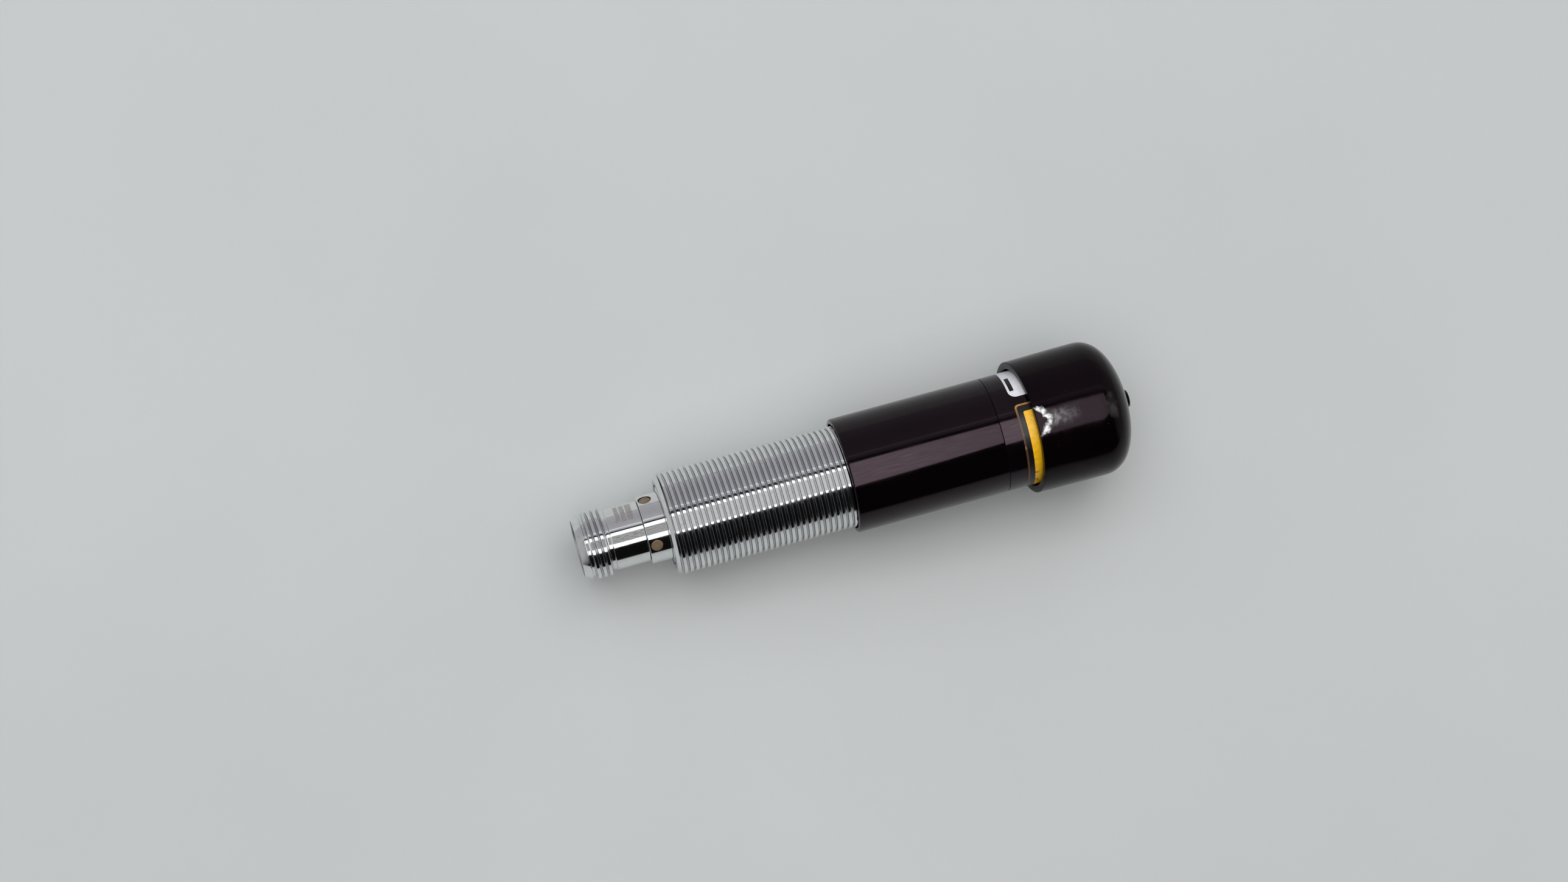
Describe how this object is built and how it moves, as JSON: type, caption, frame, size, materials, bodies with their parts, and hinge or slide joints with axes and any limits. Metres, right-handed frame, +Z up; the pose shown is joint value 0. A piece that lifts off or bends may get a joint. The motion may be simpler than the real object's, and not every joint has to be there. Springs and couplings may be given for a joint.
{
  "type": "proximity sensor",
  "caption": "Tubular proximity sensor: plug connector with a fine thread, ring of status windows, threaded metal barrel, smooth black head and a pull-off end cap.",
  "frame": {"origin": "on the sensor's axis, halfway along its overall length with the end cap on", "axes": "+X along the axis from the plug connector to the sensing face and cap; +Z up as the sensor lies on a table; +Y to the left, looking along +X"},
  "size_m": [0.0984, 0.0234, 0.0234],
  "materials": {
    "nickel_plate": "polished",
    "head_plastic": "satin",
    "label_film": "satin",
    "cap_vinyl": "gloss",
    "insert_plastic": "matte",
    "light_plastic": "satin",
    "gold_plate": "polished",
    "seal_rubber": "matte",
    "board_laminate": "satin",
    "chip_epoxy": "matte",
    "capacitor_can": "satin",
    "led_clear": "gloss",
    "wire_jacket": "satin",
    "potting_resin": "satin",
    "ferrite": "matte",
    "copper_wire": "polished"
  },
  "bodies": {
    "sensor": {"connector_shell": "nickel_plate", "contact_carrier": "insert_plastic", "contact_pin_1": "gold_plate", "contact_pin_2": "gold_plate", "contact_pin_3": "gold_plate", "contact_pin_4": "gold_plate", "carrier_seal": "seal_rubber", "led_collar": "nickel_plate", "light_ring": "light_plastic", "led_board": "board_laminate", "status_led_1": "led_clear", "status_led_2": "led_clear", "status_led_3": "led_clear", "status_led_4": "led_clear", "pin_wire_1": "wire_jacket", "pin_wire_2": "wire_jacket", "pin_wire_3": "wire_jacket", "pin_wire_4": "wire_jacket", "collar_seal": "seal_rubber", "threaded_barrel": "nickel_plate", "head_seal": "seal_rubber", "circuit_board": "board_laminate", "oscillator_chip": "chip_epoxy", "trigger_chip": "chip_epoxy", "regulator_chip": "chip_epoxy", "output_transistor": "chip_epoxy", "surge_diode": "chip_epoxy", "smoothing_capacitor": "capacitor_can", "potting_plug": "potting_resin", "head_sleeve": "head_plastic", "label_band": "label_film", "sensing_face": "head_plastic", "ferrite_core": "ferrite", "core_holder": "insert_plastic", "coil_bobbin": "insert_plastic", "coil_winding": "copper_wire", "coil_lead_1": "copper_wire", "coil_lead_2": "copper_wire"},
    "cap": {"end_cap": "cap_vinyl"}
  },
  "joints": [
    {"name": "cap_pull", "type": "slide", "parent": "sensor", "child": "cap", "axis": [1, 0, 0], "range_m": [0, 0.03]}
  ]
}
